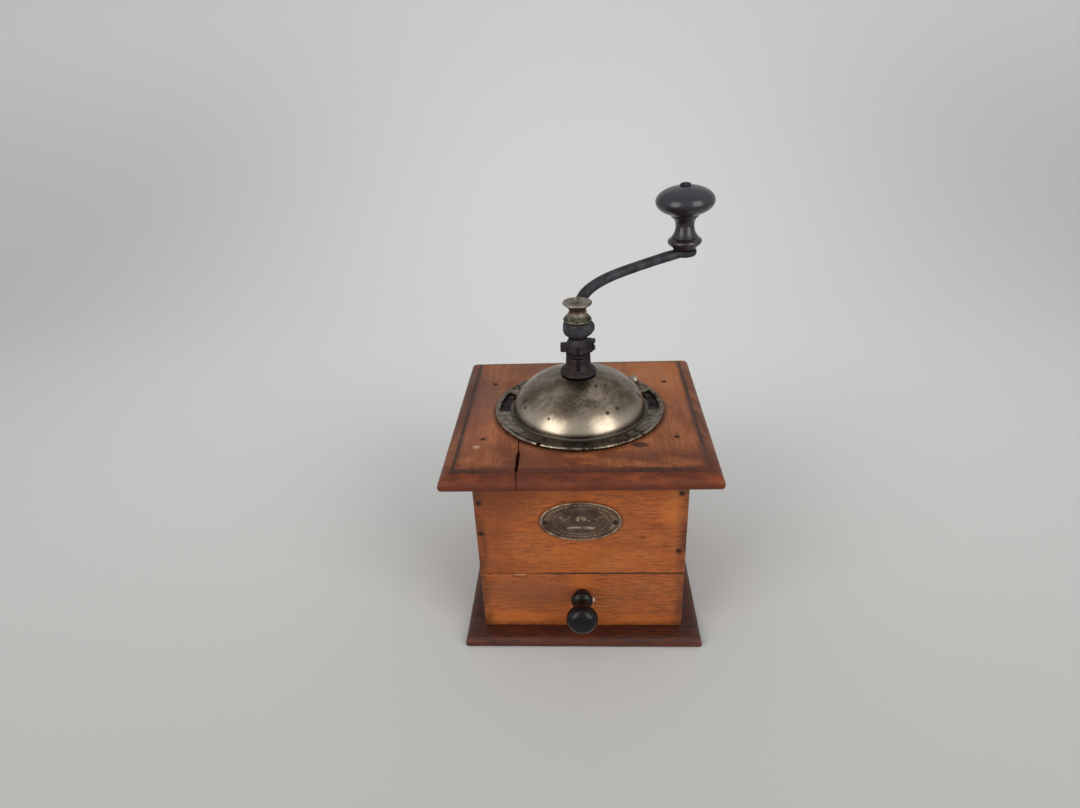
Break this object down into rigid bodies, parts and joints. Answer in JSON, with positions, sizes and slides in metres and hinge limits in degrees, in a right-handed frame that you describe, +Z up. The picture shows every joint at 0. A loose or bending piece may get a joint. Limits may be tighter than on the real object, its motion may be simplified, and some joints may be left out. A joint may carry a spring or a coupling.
{
  "type": "hand crank coffee grinder",
  "caption": "Wooden box mill with a metal hopper dome, sliding filling door, curved hand crank with turned knob, grind adjuster and a pull-out drawer for the ground coffee.",
  "frame": {"origin": "centre of the base board's underside, where the mill stands", "axes": "+Z up along the spindle, -Y towards the drawer's front, +X to the right seen from the front"},
  "size_m": [0.1561, 0.1598, 0.2474],
  "materials": {
    "front_wood": "oiled, worn",
    "top_wood": "oiled, worn",
    "base_wood": "dark stain",
    "drawer_wood": "bare",
    "dome_nickel": "tarnished nickel plate",
    "rusty_iron": "rusted",
    "crank_iron": "blued, worn",
    "cast_iron": "as cast",
    "burr_steel": "cut teeth",
    "finial_brass": "tarnished",
    "plate_metal": "tarnished",
    "knob_black": "black polish",
    "fastener_steel": "dull"
  },
  "bodies": {
    "case": {"base_board": "base_wood", "left_side_board": "front_wood", "right_side_board": "front_wood", "back_board": "front_wood", "front_panel": "front_wood", "top_board": "top_wood", "left_drawer_guide": "drawer_wood", "right_drawer_guide": "drawer_wood", "name_plate": "plate_metal", "name_plate_pin_left": "plate_metal", "name_plate_pin_right": "plate_metal", "dome_cover": "dome_nickel", "brim_screw_front": "fastener_steel", "brim_screw_rear": "fastener_steel", "yoke_screw_left": "fastener_steel", "yoke_screw_right": "fastener_steel", "mill_yoke": "rusty_iron", "neck_collar": "rusty_iron", "mill_housing": "cast_iron", "outer_burr_ring": "burr_steel", "lower_bridge": "cast_iron", "bridge_screw_left": "fastener_steel", "bridge_screw_right": "fastener_steel", "front_panel_nail_1": "fastener_steel", "back_board_nail_1": "fastener_steel", "top_board_nail_1": "fastener_steel", "base_screw_1": "fastener_steel", "front_panel_nail_2": "fastener_steel", "back_board_nail_2": "fastener_steel", "top_board_nail_2": "fastener_steel", "base_screw_2": "fastener_steel", "front_panel_nail_3": "fastener_steel", "back_board_nail_3": "fastener_steel", "top_board_nail_3": "fastener_steel", "base_screw_3": "fastener_steel", "front_panel_nail_4": "fastener_steel", "back_board_nail_4": "fastener_steel", "top_board_nail_4": "fastener_steel", "base_screw_4": "fastener_steel"},
    "washer": {"thrust_washer": "rusty_iron"},
    "adjuster": {"grind_adjuster_nut": "rusty_iron"},
    "spindle": {"spindle": "fastener_steel", "inner_burr": "burr_steel", "crank_arm": "crank_iron", "finial_nut": "finial_brass", "knob_pin": "rusty_iron"},
    "knob": {"crank_knob": "knob_black"},
    "door": {"dome_door": "dome_nickel", "door_button": "finial_brass"},
    "drawer": {"drawer_front": "front_wood", "drawer_left_side": "drawer_wood", "drawer_right_side": "drawer_wood", "drawer_back": "drawer_wood", "drawer_bottom": "drawer_wood", "drawer_knob": "knob_black", "drawer_knob_screw": "fastener_steel"}
  },
  "joints": [
    {"name": "crank_turn", "type": "hinge", "parent": "case", "child": "washer", "pos_m": [0, 0, 0.161], "axis": [0, 0, 1], "continuous": true},
    {"name": "adjuster_turn", "type": "hinge", "parent": "washer", "child": "adjuster", "pos_m": [0, 0, 0.166], "axis": [0, 0, 1], "range_deg": [-175, 175]},
    {"name": "spindle_lift", "type": "slide", "parent": "washer", "child": "spindle", "axis": [0, 0, 1], "range_m": [-0.000486, 0.000486]},
    {"name": "knob_spin", "type": "hinge", "parent": "spindle", "child": "knob", "pos_m": [0.0648, 0.046, 0.2082], "axis": [-0.0349, 0, 0.9994], "continuous": true},
    {"name": "door_turn", "type": "hinge", "parent": "case", "child": "door", "pos_m": [0, 0, 0.13], "axis": [0, 0, 1], "range_deg": [0, 104]},
    {"name": "drawer_slide", "type": "slide", "parent": "case", "child": "drawer", "axis": [0, -1, 0], "range_m": [0, 0.085]}
  ],
  "couplings": [
    {"joint": "adjuster_turn", "follows": "spindle_lift", "rad_per_m": -6283.2}
  ]
}
